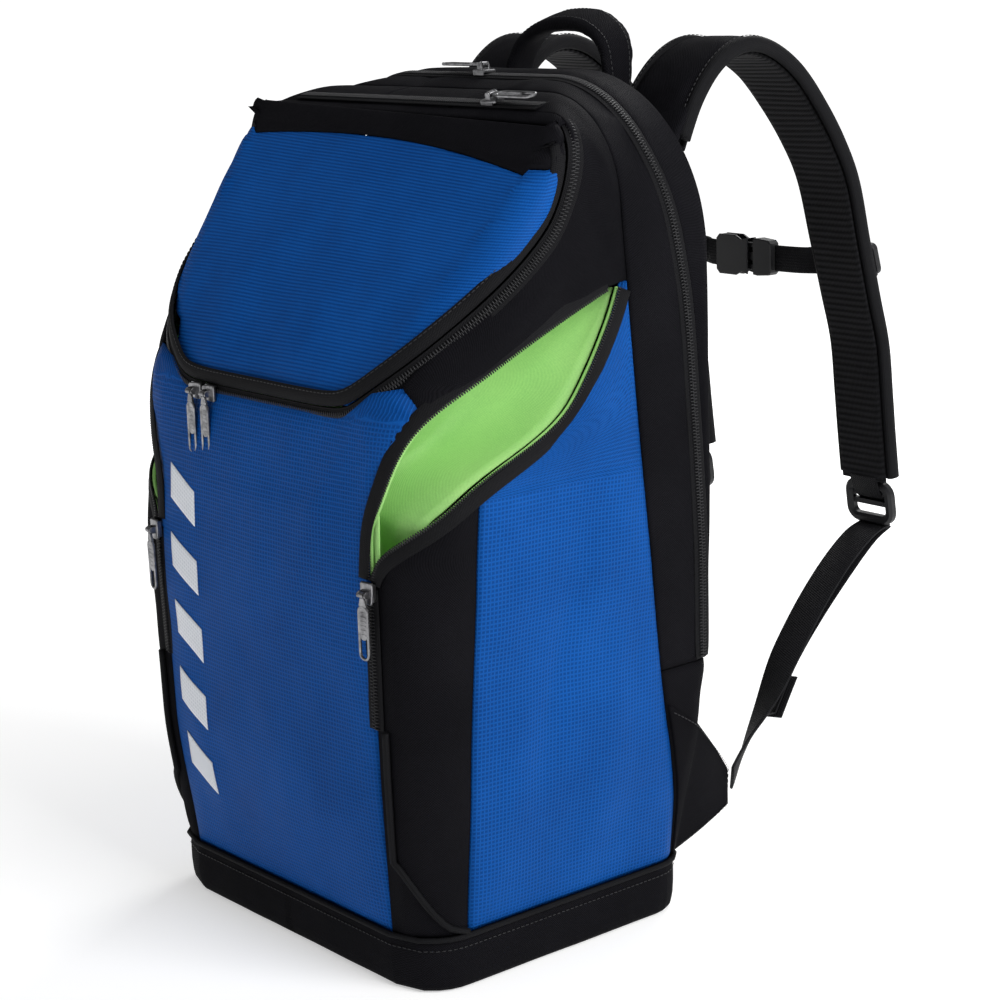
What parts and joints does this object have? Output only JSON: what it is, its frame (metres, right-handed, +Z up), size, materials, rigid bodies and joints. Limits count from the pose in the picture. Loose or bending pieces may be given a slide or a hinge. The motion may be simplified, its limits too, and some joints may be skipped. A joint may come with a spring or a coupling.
{
  "type": "racket backpack",
  "caption": "Tall soft backpack with a sloping zipped lid, curved zipped bottle pockets at the sides, a racket compartment at the back and padded shoulder straps.",
  "frame": {"origin": "centre of the underside of the base tray", "axes": "+Z up, -Y towards the front panel and lid, +Y towards the wearer's back and straps, +X towards the wearer's right; the bag is mirrored about X = 0 apart from zip sliders, buckle and stripes"},
  "size_m": [0.3144, 0.4655, 0.5597],
  "materials": {
    "blue_ripstop": "fine ripstop weave, slight sheen",
    "black_polyester": "plain weave",
    "lime_lining": "smooth lining",
    "white_print": "screen print",
    "zip_tape": "woven tape with coil",
    "zip_metal": "gunmetal plating",
    "black_plastic": "moulded",
    "spacer_mesh": "spacer mesh",
    "webbing": "ribbed webbing"
  },
  "bodies": {
    "pack": {"base_tray": "black_polyester", "base_board": "black_plastic", "front_panel": "blue_ripstop", "front_stripes": "white_print", "corner_panel_right": "black_polyester", "corner_panel_left": "black_polyester", "side_panel_right": "blue_ripstop", "side_panel_left": "blue_ripstop", "shoulder_panel_right": "black_polyester", "shoulder_panel_left": "black_polyester", "top_panel": "black_polyester", "gusset_front": "black_polyester", "lower_block_right": "black_polyester", "lower_block_left": "black_polyester", "lower_back": "black_polyester", "divider": "black_polyester", "pocket_lining_right": "lime_lining", "pocket_lining_left": "lime_lining", "pocket_rims": "zip_tape", "pocket_zips": "zip_tape", "piping": "zip_tape", "lugs": "black_polyester", "racket_zip": "zip_tape", "lid_zip": "zip_tape", "top_zip": "zip_tape"},
    "lid": {"lid_panel": "blue_ripstop", "lid_strip": "black_polyester", "lid_binding": "zip_tape"},
    "back_flap": {"gusset_rear": "black_polyester", "back_board": "black_polyester", "back_pad_right": "spacer_mesh", "back_pad_left": "spacer_mesh", "lumbar_pad": "spacer_mesh", "anchor_patch": "black_polyester", "strap_right": "black_polyester", "strap_left": "black_polyester", "strap_mesh_right": "spacer_mesh", "strap_mesh_left": "spacer_mesh", "strap_rails": "webbing", "ladder_locks": "black_plastic", "lower_webbing": "webbing", "webbing_tails": "webbing"},
    "carry_handle": {"handle": "black_polyester"},
    "sternum_strap": {"sternum_sliders": "black_plastic", "sternum_web_left": "webbing", "buckle_female": "black_plastic"},
    "buckle_plug": {"buckle_male": "black_plastic", "sternum_web_right": "webbing"},
    "lid_slider_left": {"lid_slider_left": "zip_metal"},
    "lid_pull_left": {"lid_pull_left": "zip_metal"},
    "lid_slider_right": {"lid_slider_right": "zip_metal"},
    "lid_pull_right": {"lid_pull_right": "zip_metal"},
    "pocket_slider_right": {"pocket_slider_right": "zip_metal"},
    "pocket_pull_right": {"pocket_pull_right": "zip_metal"},
    "pocket_slider_left": {"pocket_slider_left": "zip_metal"},
    "pocket_pull_left": {"pocket_pull_left": "zip_metal"},
    "top_slider": {"top_slider": "zip_metal"},
    "top_pull": {"top_pull": "zip_metal"},
    "racket_slider": {"racket_slider": "zip_metal"},
    "racket_pull": {"racket_pull": "zip_metal"}
  },
  "joints": [
    {"name": "lid_hinge", "type": "hinge", "parent": "pack", "child": "lid", "pos_m": [0, 0, 0.504], "axis": [-1, 0, 0], "range_deg": [0, 105]},
    {"name": "back_flap_hinge", "type": "hinge", "parent": "pack", "child": "back_flap", "pos_m": [0, 0.116, 0.165], "axis": [-1, 0, 0], "range_deg": [0, 20], "deforming": ["lower_webbing", "webbing_tails"]},
    {"name": "handle_fold", "type": "hinge", "parent": "back_flap", "child": "carry_handle", "pos_m": [0, 0.134, 0.5], "axis": [-1, 0, 0], "range_deg": [-8, 60], "stiffness_Nm_per_rad": 0.06},
    {"name": "sternum_height", "type": "slide", "parent": "back_flap", "child": "sternum_strap", "axis": [0, -0.2713, 0.9625], "range_m": [-0.03, 0.03]},
    {"name": "buckle_release", "type": "slide", "parent": "sternum_strap", "child": "buckle_plug", "axis": [1, 0, 0], "range_m": [0, 0.02], "deforming": ["sternum_web_right"]},
    {"name": "lid_slide_left", "type": "slide", "parent": "pack", "child": "lid_slider_left", "axis": [-1, 0, 0], "range_m": [0, 0.012]},
    {"name": "lid_slide_right", "type": "slide", "parent": "pack", "child": "lid_slider_right", "axis": [1, 0, 0], "range_m": [0, 0.12]},
    {"name": "lid_pull_swing_left", "type": "hinge", "parent": "lid_slider_left", "child": "lid_pull_left", "pos_m": [-0.066, -0.1196, 0.34], "axis": [-1, 0, 0], "range_deg": [0, 80]},
    {"name": "lid_pull_swing_right", "type": "hinge", "parent": "lid_slider_right", "child": "lid_pull_right", "pos_m": [-0.051, -0.1196, 0.34], "axis": [-1, 0, 0], "range_deg": [0, 80]},
    {"name": "pocket_slide_right", "type": "slide", "parent": "pack", "child": "pocket_slider_right", "axis": [-0.0157, 0.0169, -0.9997], "range_m": [0, 0.06]},
    {"name": "pocket_slide_left", "type": "slide", "parent": "pack", "child": "pocket_slider_left", "axis": [0.0157, 0.0169, -0.9997], "range_m": [0, 0.06]},
    {"name": "pocket_pull_swing_right", "type": "hinge", "parent": "pocket_slider_right", "child": "pocket_pull_right", "pos_m": [0.11265, -0.12563, 0.24586], "axis": [-0.9931, -0.1165, 0.0136], "range_deg": [0, 150]},
    {"name": "pocket_pull_swing_left", "type": "hinge", "parent": "pocket_slider_left", "child": "pocket_pull_left", "pos_m": [-0.11265, -0.12563, 0.24586], "axis": [-0.9931, 0.1165, -0.0136], "range_deg": [0, 150]},
    {"name": "top_slide", "type": "slide", "parent": "pack", "child": "top_slider", "axis": [-1, 0, 0], "range_m": [0, 0.13]},
    {"name": "top_pull_swing", "type": "hinge", "parent": "top_slider", "child": "top_pull", "pos_m": [0.074, 0.01187, 0.51524], "axis": [0, -0.9578, -0.2873], "range_deg": [0, 160]},
    {"name": "racket_slide", "type": "slide", "parent": "pack", "child": "racket_slider", "axis": [-1, 0, 0], "range_m": [-0.035, 0.035]},
    {"name": "racket_pull_swing", "type": "hinge", "parent": "racket_slider", "child": "racket_pull", "pos_m": [0.002, 0.066, 0.52791], "axis": [0, 1, 0], "range_deg": [0, 160]}
  ]
}
